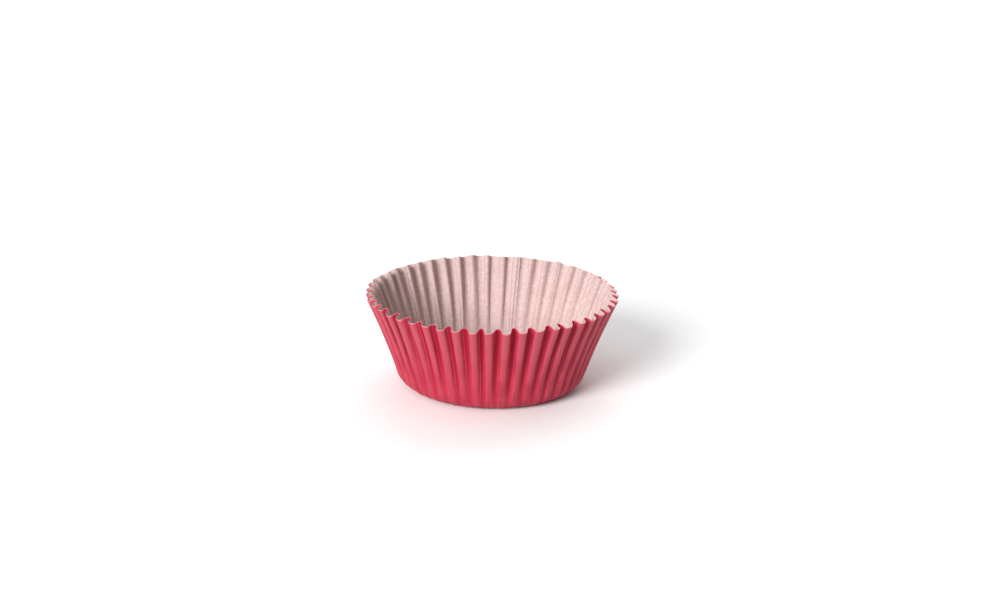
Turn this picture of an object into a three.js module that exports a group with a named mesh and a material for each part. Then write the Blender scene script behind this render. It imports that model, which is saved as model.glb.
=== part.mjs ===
// A fluted paper baking cup: one round sheet of thin baking paper, pressed into a flat base
// and a flared wall of narrow flutes. Millimetres, +Z up, origin at the centre of the underside.
//
// The paper doesn't stretch. A ring that lies at some distance from the sheet's centre keeps its
// length in the wall, where the cup is narrower than the flat sheet was. The spare length goes
// into the flutes, so they start from nothing at the base and are deepest at the rim.
import * as THREE from "three";

// Driving dimensions
const FLUTES = 48;
const BASE_RADIUS = 21.4; // the flat part of the underside
const CORNER_RADIUS = 5.7; // between the base and the wall, along a crest
const CORNER_LEAN = 18; // degrees that the wall leans out where it leaves the corner
const RIM_RADIUS = 35.5; // to the crests, at the rim
const CREST_HEIGHT = 26; // from the table to the rim, at the crests
const PAPER = 0.06; // thickness
const CREST_SHARE = 1.3; // 1 makes crests as wide as valleys, and more makes them wider

// Fineness of the faceted solid
const COLUMNS_PER_FLUTE = 8;
const COLUMNS = FLUTES * COLUMNS_PER_FLUTE;
const CORNER_ROWS = 3;
const WALL_ROWS = 3;
const STEPS_PER_COLUMN = 12; // for following the paper from a crest to a valley
const HALVINGS = 40; // in the search for a fold's slope

const PAPER_RED = 0xcf4a5c;

// The line of one crest in a section through the axis: x is the radius and y the height.
function crestLine() {
  const lean = THREE.MathUtils.degToRad(CORNER_LEAN);
  const corner = new THREE.EllipseCurve(
    BASE_RADIUS, CORNER_RADIUS, CORNER_RADIUS, CORNER_RADIUS, -Math.PI / 2, -lean,
  );
  const foot = corner.getPoint(1);
  const rim = new THREE.Vector2(RIM_RADIUS, CREST_HEIGHT);
  const halfRise = (rim.y - foot.y) / 2;
  const bend = new THREE.Vector2(foot.x + halfRise * Math.tan(lean), foot.y + halfRise);
  return { corner, wall: new THREE.QuadraticBezierCurve(foot, bend, rim) };
}

// Follows one row's paper from a crest to the valley beside it. For each column it gives how far
// the paper has turned round the axis and how deep it has sunk, square to the crest line.
// The paper's slope is a sine along its own length: the gentlest curve between the two.
function foldedPaper(row, steepest) {
  const steps = (STEPS_PER_COLUMN * COLUMNS_PER_FLUTE) / 2;
  const step = (Math.PI * row.sheetRadius) / FLUTES / steps;
  const fold = [{ turned: 0, sunk: 0 }];
  let turned = 0;
  let sunk = 0;
  for (let i = 1; i <= steps; i++) {
    const share = (i - 0.5) / steps;
    const slope = steepest * Math.sin(Math.PI * Math.pow(share, CREST_SHARE));
    const halfSunk = (step * Math.sin(slope)) / 2;
    const radius = row.crest.x + (sunk + halfSunk) * row.inward.x;
    turned += (step * Math.cos(slope)) / radius;
    sunk += 2 * halfSunk;
    if (i % STEPS_PER_COLUMN === 0) fold.push({ turned, sunk });
  }
  return fold;
}

// The fold that reaches the valley after just half a flute's turn.
function foldOf(row) {
  const halfFlute = Math.PI / FLUTES;
  let flat = 0;
  let steep = Math.PI / 2;
  let fold = [];
  for (let i = 0; i < HALVINGS; i++) {
    const steepest = (flat + steep) / 2;
    fold = foldedPaper(row, steepest);
    if (fold.at(-1).turned > halfFlute) flat = steepest;
    else steep = steepest;
  }
  return fold;
}

function rowAt(curve, share, sheetStart) {
  const along = curve.getTangentAt(share);
  const row = {
    along,
    crest: curve.getPointAt(share),
    inward: new THREE.Vector2(-along.y, along.x),
    sheetRadius: sheetStart + share * curve.getLength(),
  };
  row.fold = foldOf(row);
  return row;
}

// Places each row's columns in a section through the axis. A fibre that runs up a valley is as
// long as one that runs up a crest, so what it saves at the corner stands up at the rim.
function placeColumns(rows) {
  const lengths = rows[0].fold.map(() => 0);
  let below = null;
  for (const row of rows) {
    const places = row.fold.map(({ sunk }) => row.crest.clone().addScaledVector(row.inward, sunk));
    if (below) places.forEach((place, i) => (lengths[i] += place.distanceTo(below[i])));
    row.places = places.map((place, i) =>
      place.clone().addScaledVector(row.along, lengths[0] - lengths[i]));
    below = places;
  }
  return rows;
}

// The rows of columns on the outer face, from the edge of the flat base up to the rim.
function rowsOfFace() {
  const { corner, wall } = crestLine();
  const rows = [rowAt(corner, 0, BASE_RADIUS)];
  for (let i = 1; i <= CORNER_ROWS; i++) rows.push(rowAt(corner, i / CORNER_ROWS, BASE_RADIUS));
  const footRadius = BASE_RADIUS + corner.getLength();
  for (let i = 1; i <= WALL_ROWS; i++) rows.push(rowAt(wall, i / WALL_ROWS, footRadius));
  return placeColumns(rows);
}

// A point of the outer face. Columns count round the cup from the middle of a crest.
function facePoint(row, column) {
  const flute = Math.round(column / COLUMNS_PER_FLUTE);
  const beside = column - flute * COLUMNS_PER_FLUTE;
  const place = row.places[Math.abs(beside)];
  const turned = Math.sign(beside) * row.fold[Math.abs(beside)].turned;
  const angle = (2 * Math.PI * flute) / FLUTES + turned;
  return new THREE.Vector3(place.x * Math.cos(angle), place.x * Math.sin(angle), place.y);
}

// The direction from the outer face through the paper into the cup.
function intoCup(rows, index, column) {
  if (index === 0) return new THREE.Vector3(0, 0, 1);
  const row = rows[index];
  const above = rows[Math.min(index + 1, rows.length - 1)];
  const up = facePoint(above, column).sub(facePoint(rows[index - 1], column));
  const around = facePoint(row, column + 1).sub(facePoint(row, column - 1));
  return up.cross(around).normalize();
}

// The section of the paper: from the middle of the underside out and up the outer face, then over
// the rim and down the inner face to the middle of the floor. Each entry gives a column's point.
function section() {
  const rows = rowsOfFace();
  const outer = rows.map((row) => (column) => facePoint(row, column));
  const inner = rows.map((row, index) => (column) =>
    facePoint(row, column).addScaledVector(intoCup(rows, index, column), PAPER));
  const underside = () => new THREE.Vector3(0, 0, 0);
  const floor = () => new THREE.Vector3(0, 0, PAPER);
  return [underside, ...outer, ...inner.reverse(), floor];
}

// Turns the section round the axis, then moves each point to its place on the flutes.
function pressedSheet() {
  const points = section();
  const profile = points.map((point) => new THREE.Vector2(point(0).x, point(0).z));
  const sheet = new THREE.LatheGeometry(profile, COLUMNS);
  const position = sheet.getAttribute("position");
  const uv = sheet.getAttribute("uv");
  for (let i = 0; i < position.count; i++) {
    const point = points[Math.round(uv.getY(i) * (points.length - 1))];
    const { x, y, z } = point(Math.round(uv.getX(i) * COLUMNS) % COLUMNS);
    position.setXYZ(i, x, y, z);
  }
  sheet.computeVertexNormals();
  return sheet;
}

const paper = new THREE.MeshStandardMaterial({ color: PAPER_RED, roughness: 0.62, metalness: 0 });
const bakingCup = new THREE.Mesh(pressedSheet(), paper);
bakingCup.name = "baking_cup";

const part = new THREE.Group();
part.add(bakingCup);

export default part;
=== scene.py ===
"""A fluted baking cup of thin red paper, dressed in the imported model's frame. Metres, +Z up.

The fine cup is one pressed sheet of paper, as the solid is, with more rows and columns, flutes
that differ a little from each other, a printed outside, a paler inside and a bare cut edge.
"""

import math

import bpy
import numpy as np
from mathutils import Matrix, Vector


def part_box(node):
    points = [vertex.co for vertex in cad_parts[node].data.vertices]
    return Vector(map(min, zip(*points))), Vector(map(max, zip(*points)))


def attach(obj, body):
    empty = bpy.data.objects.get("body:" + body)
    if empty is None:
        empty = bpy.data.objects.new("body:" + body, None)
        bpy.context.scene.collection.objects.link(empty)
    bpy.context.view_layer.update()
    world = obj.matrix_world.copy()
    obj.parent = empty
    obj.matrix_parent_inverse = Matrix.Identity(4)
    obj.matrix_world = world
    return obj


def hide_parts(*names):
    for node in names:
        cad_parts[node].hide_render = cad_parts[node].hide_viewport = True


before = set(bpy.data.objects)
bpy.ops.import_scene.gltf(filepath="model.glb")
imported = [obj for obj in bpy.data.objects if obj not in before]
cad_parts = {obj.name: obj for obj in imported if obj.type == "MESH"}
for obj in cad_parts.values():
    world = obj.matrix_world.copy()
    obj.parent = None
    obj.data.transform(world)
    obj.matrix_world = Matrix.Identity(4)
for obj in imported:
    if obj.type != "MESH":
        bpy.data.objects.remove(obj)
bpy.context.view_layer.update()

MM = 0.001
NODE = "baking_cup"

# The cup
FLUTES = 48
BASE_RADIUS = 21.4 * MM  # the flat part of the underside
CORNER_RADIUS = 5.7 * MM  # between the base and the wall, along a crest
CORNER_LEAN = math.radians(18)  # how far the wall leans out where it leaves the corner
RIM_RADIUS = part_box(NODE)[1].x
CREST_HEIGHT = 26 * MM  # from the table to the rim, at the crests
PAPER = 0.06 * MM  # thickness
CREST_SHARE = 1.3  # 1 makes crests as wide as valleys, and more makes them wider
FOLD_SHARPNESS = 1.35  # 1 is the gentlest fold, and more gives crests firmer shoulders

# How much the flutes differ. The rise goes from the edge of the base (0) to the rim (1).
SEED = 11
FOOT_SWAY = math.radians(0.25)  # how far a fold strays to one side at its foot
RIM_SWAY = math.radians(0.4)
MIDDLE_SWAY = math.radians(0.4)  # how far a fold bows to one side halfway up
SWAY_ONSET = 12  # the sway starts from nothing, and is whole above 1 / 12 of the rise
DEPTH_SPREAD = 0.09  # as a share of a flute's depth
CREST_SPREAD = 0.09 * MM
RIM_SPREAD = 0.12 * MM
OUT_OF_ROUND = 0.12 * MM
OUT_OF_ROUND_PHASE = 1  # radians
WRINKLE = 0.035 * MM
WRINKLE_CELLS = (3, 6)  # columns and rows that a wrinkle is smoothed over
CRUMPLE = 0.04 * MM
CRUMPLE_CELLS = (2, 2)
CRUMPLE_RISE = 0.18  # where the paper is most crumpled
CREASE = 0.22 * MM  # a fine ridge that the press leaves on each side of a valley
CREASE_PLACE = 0.77  # from a crest (0) to the valley beside it (1)
CREASE_WIDTH = 0.06
CREASE_SPREAD = 0.5  # as a share of a crease's height
CREASE_ONSET = 3  # the creases start from nothing, and are whole above 1 / 3 of the rise
SOFT_FOOT = 0.3  # the share of its depth that a flute has at the edge of the base
SOFT_RISE = 0.45  # and above this rise it has its whole depth
LEAST_DEPTH = 0.035 * MM  # what a flute's print takes for its depth where it is shallower

# Fineness of the mesh
COLUMNS_PER_FLUTE = 28
COLUMNS = FLUTES * COLUMNS_PER_FLUTE
BASE_RINGS = 5
CORNER_ROWS = 8
WALL_ROWS = 20
STEPS_PER_COLUMN = 6  # for following the paper from a crest to a valley
HALVINGS = 30  # in the search for a fold's slope


def crest_line():
    """Points of one crest in a section through the axis (radius, height), base edge to rim."""
    turn = np.linspace(0, math.pi / 2 - CORNER_LEAN, CORNER_ROWS + 1)
    corner_radius = BASE_RADIUS + CORNER_RADIUS * np.sin(turn)
    corner = np.stack([corner_radius, CORNER_RADIUS * (1 - np.cos(turn))], axis=1)
    foot = corner[-1]
    rim = np.array([RIM_RADIUS, CREST_HEIGHT])
    half_rise = (rim[1] - foot[1]) / 2
    bend = foot + half_rise * np.array([math.tan(CORNER_LEAN), 1])
    share = np.linspace(0, 1, WALL_ROWS + 1)[1:, None]
    wall = (1 - share) ** 2 * foot + 2 * share * (1 - share) * bend + share**2 * rim
    return np.concatenate([corner, wall])


def half_flute(crest, inward, half_paper, steepest):
    """The paper from a crest to the valley beside it, for each row: (angle turned, depth sunk).

    Along its own length the paper's slope starts from nothing on the crest, is steepest on the
    flank and ends in nothing in the valley.
    """
    steps = STEPS_PER_COLUMN * COLUMNS_PER_FLUTE // 2
    share = (np.arange(steps) + 0.5) / steps
    slope = steepest[:, None] * np.sin(math.pi * share**CREST_SHARE) ** FOLD_SHARPNESS
    step = half_paper[:, None] / steps
    start = np.zeros((len(crest), 1))
    sunk = np.concatenate([start, np.cumsum(np.sin(slope) * step, axis=1)], axis=1)
    radius = crest[:, :1] + (sunk[:, :-1] + sunk[:, 1:]) / 2 * inward[:, :1]
    turned = np.concatenate([start, np.cumsum(np.cos(slope) * step / radius, axis=1)], axis=1)
    return turned, sunk


def pressed_flutes(crest, inward, sheet_radius):
    """Angle and depth of each column in each row. A ring of the flat sheet keeps its length."""
    half_paper = math.pi * sheet_radius / FLUTES
    flat = np.zeros(len(crest))
    steep = np.full(len(crest), math.pi / 2)
    for _ in range(HALVINGS):
        steepest = (flat + steep) / 2
        turned, sunk = half_flute(crest, inward, half_paper, steepest)
        too_long = turned[:, -1] > math.pi / FLUTES
        flat = np.where(too_long, steepest, flat)
        steep = np.where(too_long, steep, steepest)
    column = np.arange(COLUMNS)
    flute = np.round(column / COLUMNS_PER_FLUTE)
    beside = column - flute * COLUMNS_PER_FLUTE
    place = (np.abs(beside) * STEPS_PER_COLUMN).astype(int)
    angle = 2 * math.pi * flute / FLUTES + np.sign(beside) * turned[:, place]
    return angle, sunk[:, place]


def per_fold(random, spread):
    """A value for each column that eases from fold to fold, with its own value at each."""
    folds = 2 * FLUTES
    values = random.normal(0, spread, folds)
    place = np.arange(COLUMNS) * folds / COLUMNS
    before = place.astype(int)
    ease = (1 - np.cos(math.pi * (place - before))) / 2
    return values[before] * (1 - ease) + values[(before + 1) % folds] * ease


def creases():
    """Each column's share of the fine ridges beside the valleys: 1 on top of one."""
    from_crest = np.abs((np.arange(COLUMNS) / COLUMNS_PER_FLUTE + 0.5) % 1 - 0.5) * 2
    return np.exp(-(((from_crest - CREASE_PLACE) / CREASE_WIDTH) ** 2))


def smooth_noise(random, rows, across, along):
    """Noise of unit spread over rows and columns, smoothed over so many columns and rows."""
    spectrum = np.fft.fft2(random.normal(0, 1, (rows, COLUMNS)))
    row_waves = np.fft.fftfreq(rows)[:, None] * along
    column_waves = np.fft.fftfreq(COLUMNS)[None, :] * across
    kept = np.exp(-2 * math.pi**2 * (row_waves**2 + column_waves**2))
    field = np.real(np.fft.ifft2(spectrum * kept))
    return field / field.std()


def uneven_depth(random, rise, angle, sunk):
    """The flutes' depth with what sets each apart: softer feet, wrinkles and creases."""
    softened = np.minimum(1, rise / SOFT_RISE)
    softened = SOFT_FOOT + (1 - SOFT_FOOT) * softened**2 * (3 - 2 * softened)
    uneven = sunk * (softened * (1 + per_fold(random, DEPTH_SPREAD)))
    uneven += rise * per_fold(random, CREST_SPREAD)
    uneven += rise * OUT_OF_ROUND * np.cos(2 * angle + OUT_OF_ROUND_PHASE)
    uneven += smooth_noise(random, len(rise), *WRINKLE_CELLS) * WRINKLE * np.sqrt(rise)
    crumpled = rise * np.exp(1 - rise / CRUMPLE_RISE) / CRUMPLE_RISE
    uneven += smooth_noise(random, len(rise), *CRUMPLE_CELLS) * CRUMPLE * crumpled
    crease = CREASE * np.maximum(0, 1 + per_fold(random, CREASE_SPREAD))
    uneven -= softened * np.minimum(1, CREASE_ONSET * rise) * crease * creases()
    return uneven


def uneven_angle(random, rise, angle):
    """The columns' angles with the sway of each fold."""
    foot_sway = per_fold(random, FOOT_SWAY)
    rim_sway = per_fold(random, RIM_SWAY)
    swayed = angle + foot_sway * (1 - rise) + rim_sway * rise
    swayed += np.sin(math.pi * rise) * per_fold(random, MIDDLE_SWAY)
    return angle + (swayed - angle) * np.minimum(1, rise * SWAY_ONSET)


def wall_points():
    """The outer face, as rows of points from the edge of the base to the rim.

    Beside the points come each row's distance from that edge along the flat sheet, and how deep
    each point lies in its flute, from 0 on a crest to 1 in a valley.
    """
    random = np.random.default_rng(SEED)
    crest = crest_line()
    along = np.gradient(crest, axis=0)
    along /= np.linalg.norm(along, axis=1, keepdims=True)
    inward = np.stack([-along[:, 1], along[:, 0]], axis=1)
    steps = np.linalg.norm(np.diff(crest, axis=0), axis=1)
    run = np.concatenate([[0], np.cumsum(steps)])
    rise = run[:, None] / run[-1]
    angle, sunk = pressed_flutes(crest, inward, BASE_RADIUS + run)
    fold = sunk / np.maximum(sunk.max(axis=1, keepdims=True), LEAST_DEPTH)
    sunk = uneven_depth(random, rise, angle, sunk)

    # A fibre of the paper is as long in a valley as on a crest, so what the valley's shorter
    # way round the corner saves stands up at the rim.
    radius = crest[:, :1] + sunk * inward[:, :1]
    height = crest[:, 1:] + sunk * inward[:, 1:]
    fibre_steps = np.hypot(np.diff(radius, axis=0), np.diff(height, axis=0))
    fibre = np.concatenate([np.zeros((1, COLUMNS)), np.cumsum(fibre_steps, axis=0)])
    spare = run[:, None] - fibre + rise**2 * per_fold(random, RIM_SPREAD)
    radius = radius + spare * along[:, :1]
    height = height + spare * along[:, 1:]

    turned = uneven_angle(random, rise, angle)
    points = np.stack([radius * np.cos(turned), radius * np.sin(turned), height], axis=2)
    return points, run, fold


def into_cup(points):
    """Unit directions from the outer face through the paper into the cup."""
    up = np.gradient(points, axis=0)
    around = np.roll(points, -1, axis=1) - np.roll(points, 1, axis=1)
    across = np.cross(up, around)
    across /= np.linalg.norm(across, axis=2, keepdims=True)
    across[0] = (0, 0, 1)
    return across


def column_angles():
    """The columns' angles on the flat sheet."""
    return np.arange(COLUMNS) * 2 * math.pi / COLUMNS


def sheet_points():
    """Both faces of the sheet, row by row from near the middle of the base to the rim.

    Beside them come each row's radius on the flat sheet, and each point's depth in its flute.
    """
    wall, run, fold = wall_points()
    angle = column_angles()
    ring_radius = BASE_RADIUS * np.sin(np.linspace(0, math.pi / 2, BASE_RINGS + 2))[1:-1]
    circle = np.stack([np.cos(angle), np.sin(angle), 0 * angle], axis=1)
    base = ring_radius[:, None, None] * circle
    outer = np.concatenate([base, wall])
    inner_wall = wall + PAPER * into_cup(wall)
    inner = np.concatenate([base + (0, 0, PAPER), inner_wall])
    sheet_radius = np.concatenate([ring_radius, BASE_RADIUS + run])
    fold = np.concatenate([np.zeros((BASE_RINGS, COLUMNS)), fold])
    return outer, inner, sheet_radius, fold


def surface_fields(sheet_radius, fold):
    """What the materials read at each point of a face, three values each.

    sheet: where the point was on the flat sheet, in millimetres.
    press: the cosine and sine of its angle, and its rise, which is below 0 on the base.
    fold: 0 on a crest to 1 in a valley, and then 1 on a crease.
    """
    angle = column_angles()
    flat = sheet_radius[:, None] / MM
    sheet = np.stack([flat * np.cos(angle), flat * np.sin(angle), 0 * flat * angle], axis=2)
    rise = (sheet_radius - BASE_RADIUS) / (sheet_radius[-1] - BASE_RADIUS)
    rise = np.broadcast_to(rise[:, None], fold.shape)
    ones = np.ones_like(rise)
    press = np.stack([ones * np.cos(angle), ones * np.sin(angle), rise], axis=2)
    fold = np.stack([fold, ones * creases(), 0 * ones], axis=2)
    return {"sheet": sheet, "press": press, "fold": fold}


def quads(lower, upper):
    """Quads between two rows of vertex numbers, facing out where upper lies above lower."""
    return np.stack([lower, np.roll(lower, -1), np.roll(upper, -1), upper], axis=1).tolist()


def fan(centre, ring):
    """Triangles from a centre to a row of vertex numbers, facing down under a ring."""
    return [(centre, after, here) for here, after in zip(ring, np.roll(ring, -1))]


def add_attribute(mesh, name, values):
    layer = mesh.attributes.new(name, "FLOAT_VECTOR", "POINT")
    layer.data.foreach_set("vector", np.asarray(values, np.float32).ravel())


def sharpen_between(mesh, corners):
    """Makes sharp each edge of the mesh that runs between two of these vertices."""
    ends = np.zeros(len(mesh.edges) * 2, int)
    mesh.edges.foreach_get("vertices", ends)
    sharp = mesh.attributes.new("sharp_edge", "BOOLEAN", "EDGE")
    sharp.data.foreach_set("value", np.isin(ends.reshape(-1, 2), corners).all(axis=1))


def baking_cup():
    """The cup as one closed mesh. Material 0 is the outside, 1 the inside, 2 the cut edge."""
    outer, inner, sheet_radius, fold = sheet_points()
    rows = len(outer)
    outer_id = np.arange(rows * COLUMNS).reshape(rows, COLUMNS)
    inner_id = outer_id + rows * COLUMNS
    below, above = 2 * rows * COLUMNS, 2 * rows * COLUMNS + 1
    middle = [(0, 0, 0), (0, 0, PAPER)]
    points = np.concatenate([outer.reshape(-1, 3), inner.reshape(-1, 3), middle])

    outside = fan(below, outer_id[0])
    inside = [face[::-1] for face in fan(above, inner_id[0])]
    for row in range(rows - 1):
        outside += quads(outer_id[row], outer_id[row + 1])
        inside += quads(inner_id[row + 1], inner_id[row])
    edge = quads(outer_id[-1], inner_id[-1])

    mesh = bpy.data.meshes.new("baking_cup_paper")
    mesh.from_pydata(points.tolist(), [], outside + inside + edge)
    kind = [0] * len(outside) + [1] * len(inside) + [2] * len(edge)
    mesh.polygons.foreach_set("material_index", kind)
    mesh.shade_smooth()
    sharpen_between(mesh, np.concatenate([outer_id[-1], inner_id[-1]]))
    for name, field in surface_fields(sheet_radius, fold).items():
        one_face = field.reshape(-1, 3)
        add_attribute(mesh, name, np.concatenate([one_face, one_face, np.zeros((2, 3))]))

    cup = bpy.data.objects.new("baking_cup_paper", mesh)
    bpy.context.scene.collection.objects.link(cup)
    return cup


class Shader:
    """A Principled material, with short calls for the nodes that feed it."""

    MIX_FACTOR, MIX_FIRST, MIX_SECOND, MIX_RESULT = 0, 6, 7, 2  # sockets for colours

    def __init__(self, name):
        self.material = bpy.data.materials.new(name)
        self.material.use_nodes = True
        self.tree = self.material.node_tree
        self.principled = self.tree.nodes["Principled BSDF"]

    def put(self, node, inputs):
        """Links each input that is a socket, and sets each that is a value."""
        for key, value in inputs.items():
            if isinstance(value, bpy.types.NodeSocket):
                self.tree.links.new(value, node.inputs[key])
            else:
                node.inputs[key].default_value = value
        return node

    def add(self, kind, inputs, **settings):
        node = self.tree.nodes.new(kind)
        for key, value in settings.items():
            setattr(node, key, value)
        return self.put(node, inputs)

    def attribute(self, name):
        return self.add("ShaderNodeAttribute", {}, attribute_name=name).outputs["Vector"]

    def scaled(self, vector, scale):
        inputs = {0: vector, 1: scale}
        node = self.add("ShaderNodeVectorMath", inputs, operation="MULTIPLY")
        return node.outputs[0]

    def noise(self, vector, scale, detail, rough):
        inputs = {"Vector": vector, "Scale": scale, "Detail": detail, "Roughness": rough}
        return self.add("ShaderNodeTexNoise", inputs).outputs["Fac"]

    def part(self, vector, axis):
        return self.add("ShaderNodeSeparateXYZ", {0: vector}).outputs[axis]

    def math(self, operation, first, second):
        node = self.add("ShaderNodeMath", {0: first, 1: second}, operation=operation)
        return node.outputs[0]

    def ramp(self, value, low, high, to_low=0.0, to_high=1.0):
        inputs = {"Value": value, 1: low, 2: high, 3: to_low, 4: to_high}
        node = self.add("ShaderNodeMapRange", inputs, interpolation_type="SMOOTHSTEP")
        return node.outputs["Result"]

    def mix(self, factor, first, second):
        inputs = {self.MIX_FACTOR: factor, self.MIX_FIRST: first, self.MIX_SECOND: second}
        node = self.add("ShaderNodeMix", inputs, data_type="RGBA")
        return node.outputs[self.MIX_RESULT]

    def bump(self, height, strength, distance):
        inputs = {"Height": height, "Strength": strength, "Distance": distance}
        return self.add("ShaderNodeBump", inputs).outputs["Normal"]


def colour(red, green, blue):
    """A scene-linear colour from display values of 0 to 1, by the usual display curve."""
    def linear(value):
        return value / 12.92 if value <= 0.04045 else ((value + 0.055) / 1.055) ** 2.4

    return (linear(red), linear(green), linear(blue), 1)


# Colours of the printed outside, with painted shade and painted highlights among them
INK_DARK = colour(0.63, 0.14, 0.23)
INK_LIGHT = colour(0.71, 0.21, 0.29)
# Paler ink for the crests: partly rubbed print, partly a painted sheen
INK_RUBBED_AND_SHEEN = colour(0.69, 0.28, 0.33)
INK_FIBRE = colour(0.74, 0.36, 0.42)
# Painted shade: a deeper red for the valleys
INK_VALLEY_SHADE = colour(0.62, 0.0, 0.16)
# Lighter ink for the creases: cracked ink and a painted highlight line
INK_CREASE_CRACK_AND_HIGHLIGHT = colour(0.76, 0.25, 0.33)
# Paler ink for the rim: ink wear and a painted glint on the edge
INK_RIM_WEAR_AND_GLINT = colour(0.88, 0.56, 0.60)

# Colours of the bare inside and the cut edge
BARE_LIGHT = colour(0.80, 0.72, 0.70)
BARE_DARK = colour(0.75, 0.63, 0.62)
BARE_FIBRE = colour(0.83, 0.78, 0.75)
BARE_CLOUD = colour(0.73, 0.58, 0.58)
EDGE_DARK = colour(0.84, 0.50, 0.54)
EDGE_LIGHT = colour(0.86, 0.64, 0.65)

# The grain of the paper, each as a noise: scale, detail and roughness
CLOUDS = (0.16, 3.0, 0.5)
FIBRES = (2.4, 5.0, 0.65)
STREAKS = (1.5, 3.0, 0.6)
STREAK_STRETCH = (RIM_RADIUS / MM, RIM_RADIUS / MM, 3)  # long up the wall, narrow round it
MOTTLE = (1.1, 4.0, 0.7)
EDGE_FIBRES = (5.0, 3.0, 0.5)
GRAIN_HEIGHT = 0.03 * MM

# Where the print, its painted shade and its painted highlights change. Each is a ramp: low
# and high end, and what it gives at each if that isn't 0 and 1. A ramp over the fold goes
# from a crest (0) to a valley (1).
PRINT_CLOUDS = (0.3, 0.7)
PRINT_FIBRES = (0.45, 0.75, 0, 0.3)
RUBBED_AND_SHEEN_FOLD = (0.05, 0.5, 1, 0)
RUBBED_AND_SHEEN_RISE = (0.25, 0.9, 0.15, 0.95)
VALLEY_SHADE_FOLD = (0.55, 0.85)
VALLEY_SHADE_RISE = (0.1, 0.9, 0.4, 1)
CREASE_CRACK_AND_HIGHLIGHT_RISE = (0.15, 0.5, 0, 0.7)
RIM_WEAR_AND_GLINT_RISE = (0.985, 0.999)
RIM_WEAR_AND_GLINT_FOLD = (0.1, 0.6, 0.8, 0.4)
PRINT_ROUGHNESS = (0.3, 0.7, 0.5, 0.65)
NOISE_MIDDLE = 0.5
STREAK_SHIFT = 0.7  # how far the streaks move the print's borders over the fold
PRINT_FIBRE_HEIGHT = 0.6
PRINT_BUMP = 0.35
PRINT_SPECULAR = 0.25

# The same for the bare inside and the cut edge
BARE_MOTTLE = (0.35, 0.65)
BARE_FIBRES = (0.5, 0.75, 0, 0.5)
BARE_CLOUDS = (0.4, 0.7, 0, 0.3)
BARE_ROUGHNESS = (0.3, 0.7, 0.6, 0.75)
BARE_STREAK_HEIGHT = 0.8
BARE_BUMP = 0.3
BARE_SPECULAR = 0.35
EDGE_ROUGHNESS = 0.75


def paper_grain(shader):
    """What both faces of the paper share: (clouds, fibres, streaks)."""
    sheet = shader.attribute("sheet")
    press = shader.scaled(shader.attribute("press"), STREAK_STRETCH)
    clouds = shader.noise(sheet, *CLOUDS)
    fibres = shader.noise(sheet, *FIBRES)
    streaks = shader.noise(press, *STREAKS)
    return clouds, fibres, streaks


def printed_outside():
    """Red print, paler on the crests from rubbing and a painted sheen, and at the rim from wear
    and a painted glint, with painted shade deep in the valleys and painted highlight lines on
    the creases.
    """
    shader = Shader("red_print_and_painted_light")
    clouds, fibres, streaks = paper_grain(shader)
    rise = shader.part(shader.attribute("press"), "Z")
    fold = shader.part(shader.attribute("fold"), "X")
    crease = shader.part(shader.attribute("fold"), "Y")
    streaked = shader.math("SUBTRACT", streaks, NOISE_MIDDLE)
    place = shader.math("ADD", fold, shader.math("MULTIPLY", streaked, STREAK_SHIFT))

    ink = shader.mix(shader.ramp(clouds, *PRINT_CLOUDS), INK_DARK, INK_LIGHT)
    # Paler crests, more so up the wall: rubbed print and a painted sheen
    high = shader.ramp(rise, *RUBBED_AND_SHEEN_RISE)
    rubbed_and_sheen = shader.math("MULTIPLY", shader.ramp(place, *RUBBED_AND_SHEEN_FOLD), high)
    ink = shader.mix(rubbed_and_sheen, ink, INK_RUBBED_AND_SHEEN)
    ink = shader.mix(shader.ramp(fibres, *PRINT_FIBRES), ink, INK_FIBRE)
    # Painted shade deep in the valleys, more of it up the wall
    high = shader.ramp(rise, *VALLEY_SHADE_RISE)
    valley = shader.math("MULTIPLY", shader.ramp(place, *VALLEY_SHADE_FOLD), high)
    ink = shader.mix(valley, ink, INK_VALLEY_SHADE)
    # Lighter creases: cracked ink and a painted highlight line
    ridge = shader.math("MULTIPLY", crease, shader.ramp(rise, *CREASE_CRACK_AND_HIGHLIGHT_RISE))
    ink = shader.mix(ridge, ink, INK_CREASE_CRACK_AND_HIGHLIGHT)
    # Paler rim, most on the crests: ink wear and a painted glint along the edge
    high = shader.ramp(rise, *RIM_WEAR_AND_GLINT_RISE)
    wear_and_glint = shader.math("MULTIPLY", high, shader.ramp(fold, *RIM_WEAR_AND_GLINT_FOLD))
    ink = shader.mix(wear_and_glint, ink, INK_RIM_WEAR_AND_GLINT)

    height = shader.math("ADD", shader.math("MULTIPLY", fibres, PRINT_FIBRE_HEIGHT), streaks)
    shader.put(shader.principled, {
        "Base Color": ink,
        "Roughness": shader.ramp(fibres, *PRINT_ROUGHNESS),
        "Specular IOR Level": PRINT_SPECULAR,
        "Normal": shader.bump(height, PRINT_BUMP, GRAIN_HEIGHT),
    })
    return shader.material


def bare_inside():
    """Pale, uneven paper with a little of the print showing through in clouds."""
    shader = Shader("pale_inside")
    clouds, fibres, streaks = paper_grain(shader)
    mottle = shader.noise(shader.attribute("sheet"), *MOTTLE)

    paper = shader.mix(shader.ramp(mottle, *BARE_MOTTLE), BARE_LIGHT, BARE_DARK)
    paper = shader.mix(shader.ramp(fibres, *BARE_FIBRES), paper, BARE_FIBRE)
    paper = shader.mix(shader.ramp(clouds, *BARE_CLOUDS), paper, BARE_CLOUD)

    height = shader.math("ADD", fibres, shader.math("MULTIPLY", streaks, BARE_STREAK_HEIGHT))
    shader.put(shader.principled, {
        "Base Color": paper,
        "Roughness": shader.ramp(fibres, *BARE_ROUGHNESS),
        "Specular IOR Level": BARE_SPECULAR,
        "Normal": shader.bump(height, BARE_BUMP, GRAIN_HEIGHT),
    })
    return shader.material


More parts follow.
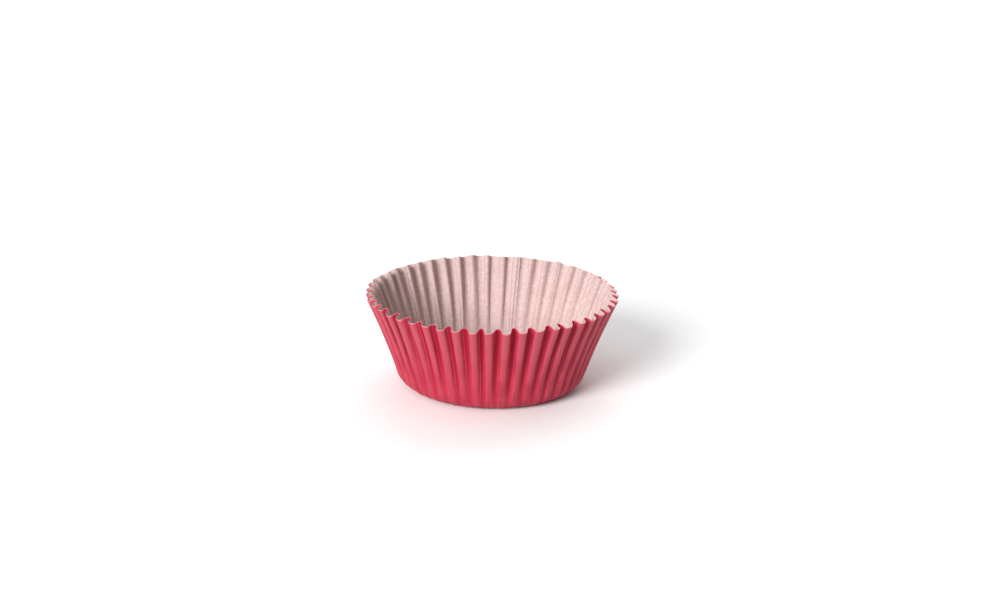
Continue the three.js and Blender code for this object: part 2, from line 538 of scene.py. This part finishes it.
def cut_edge():
    shader = Shader("cut_edge")
    fibres = shader.noise(shader.attribute("sheet"), *EDGE_FIBRES)
    shader.put(shader.principled, {
        "Base Color": shader.mix(fibres, EDGE_DARK, EDGE_LIGHT),
        "Roughness": EDGE_ROUGHNESS,
    })
    return shader.material


# The set: a pale floor under soft light from the front left, above and behind, and an even sky
FLOOR_HALF = 6.0
FLOOR_LOWER = 0.02 * MM  # so that the floor doesn't share the underside's plane
FLOOR_GREY = (0.93, 0.93, 0.93, 1)
FLOOR_ROUGHNESS = 0.9
FLOOR_SPECULAR = 0.1
SKY_WHITE = (1, 1, 1, 1)
SKY_STRENGTH = 0.3
KEY_STRENGTH = 3.75
KEY_SPREAD = math.radians(28)
KEY_FROM = Vector((-0.50, -0.75, 0.43))
TOP_STRENGTH = 0.75
TOP_SPREAD = math.radians(80)
TOP_FROM = Vector((-0.35, 0.1, 0.93))
BACK_STRENGTH = 1.3
BACK_SPREAD = math.radians(60)
BACK_FROM = Vector((0.2, 0.85, 0.5))


def floor():
    mesh = bpy.data.meshes.new("floor")
    corners = [(x * FLOOR_HALF, y * FLOOR_HALF, -FLOOR_LOWER)
               for x, y in ((-1, -1), (1, -1), (1, 1), (-1, 1))]
    mesh.from_pydata(corners, [], [(0, 1, 2, 3)])
    plane = bpy.data.objects.new("floor", mesh)
    bpy.context.scene.collection.objects.link(plane)
    shader = Shader("floor_white")
    shader.put(shader.principled, {
        "Base Color": FLOOR_GREY,
        "Roughness": FLOOR_ROUGHNESS,
        "Specular IOR Level": FLOOR_SPECULAR,
    })
    mesh.materials.append(shader.material)


def lamp(name, strength, spread, coming_from):
    light = bpy.data.lights.new(name, "SUN")
    light.energy = strength
    light.angle = spread
    shining = bpy.data.objects.new(name, light)
    shining.rotation_euler = coming_from.to_track_quat("Z", "Y").to_euler()
    bpy.context.scene.collection.objects.link(shining)


def sky():
    world = bpy.data.worlds.new("sky")
    world.use_nodes = True
    background = world.node_tree.nodes["Background"]
    background.inputs["Color"].default_value = SKY_WHITE
    background.inputs["Strength"].default_value = SKY_STRENGTH
    bpy.context.scene.world = world


# The camera, at the photograph's viewing angle
VIEW_ELEVATION = math.radians(19.1)
VIEW_TURN = math.radians(0.8)  # round the cup, to the right
VIEW_ROLL = math.radians(1.1)
VIEW_DISTANCE = 0.6
VIEW_PIVOT = Vector((0, 0, 12.5 * MM))
AIM_RIGHT = 2.38 * MM  # what the camera aims at, from the pivot
AIM_UP = 11.30 * MM
LENS_MM = 76.4
SENSOR_MM = 36
CLIP_START = 0.01


def camera():
    level = Matrix.Rotation(VIEW_TURN, 3, "Z")
    right = level @ Vector((1, 0, 0))
    ahead = level @ Vector((0, math.cos(VIEW_ELEVATION), -math.sin(VIEW_ELEVATION)))
    up = right.cross(ahead)
    rolled_right = math.cos(VIEW_ROLL) * right + math.sin(VIEW_ROLL) * up
    rolled_up = math.cos(VIEW_ROLL) * up - math.sin(VIEW_ROLL) * right
    place = VIEW_PIVOT - VIEW_DISTANCE * ahead
    aim = VIEW_PIVOT + AIM_RIGHT * rolled_right + AIM_UP * rolled_up
    back = (place - aim).normalized()
    side = rolled_up.cross(back).normalized()
    axes = Matrix((side, back.cross(side), back)).transposed()

    lens = bpy.data.cameras.new("camera")
    lens.lens = LENS_MM
    lens.sensor_width = SENSOR_MM
    lens.clip_start = CLIP_START
    eye = bpy.data.objects.new("camera", lens)
    eye.matrix_world = Matrix.Translation(place) @ axes.to_4x4()
    bpy.context.scene.collection.objects.link(eye)
    bpy.context.scene.camera = eye


cup = baking_cup()
for material in (printed_outside(), bare_inside(), cut_edge()):
    cup.data.materials.append(material)
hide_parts(NODE)
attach(cup, "root")

floor()
lamp("key_light", KEY_STRENGTH, KEY_SPREAD, KEY_FROM)
lamp("top_light", TOP_STRENGTH, TOP_SPREAD, TOP_FROM)
lamp("back_light", BACK_STRENGTH, BACK_SPREAD, BACK_FROM)
sky()
camera()
bpy.context.scene.view_settings.view_transform = "Standard"
